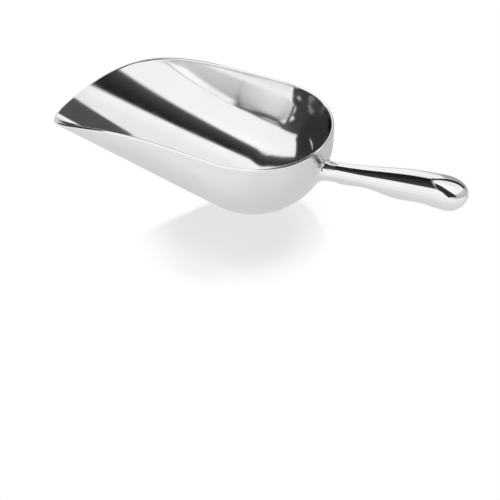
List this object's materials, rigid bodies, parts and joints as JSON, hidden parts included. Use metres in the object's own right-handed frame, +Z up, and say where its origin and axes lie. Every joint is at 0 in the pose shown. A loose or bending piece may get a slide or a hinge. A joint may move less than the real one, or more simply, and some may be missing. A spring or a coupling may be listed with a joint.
{
  "type": "ice scoop",
  "caption": "Polished aluminium ice scoop with a rounded back, an open trough with a swept nose, and a solid grip with finger swells.",
  "frame": {"origin": "centre of the overall footprint, at the height of the lowest point of the bowl", "axes": "+X along the length, from the nose toward the butt of the handle; +Z up, square to the level part of the rim; the scoop is symmetric left to right about Y = 0"},
  "size_m": [0.2821, 0.1, 0.0602],
  "materials": {
    "bowl_metal": "satin outside, bright polished inside",
    "handle_metal": "mirror polished",
    "fastener_steel": "brushed stainless steel",
    "seal_rubber": "matte"
  },
  "bodies": {
    "root": {"bowl": "bowl_metal", "handle": "handle_metal", "handle_screw": "fastener_steel", "locating_pin": "fastener_steel", "seal_ring": "seal_rubber"}
  },
  "joints": []
}
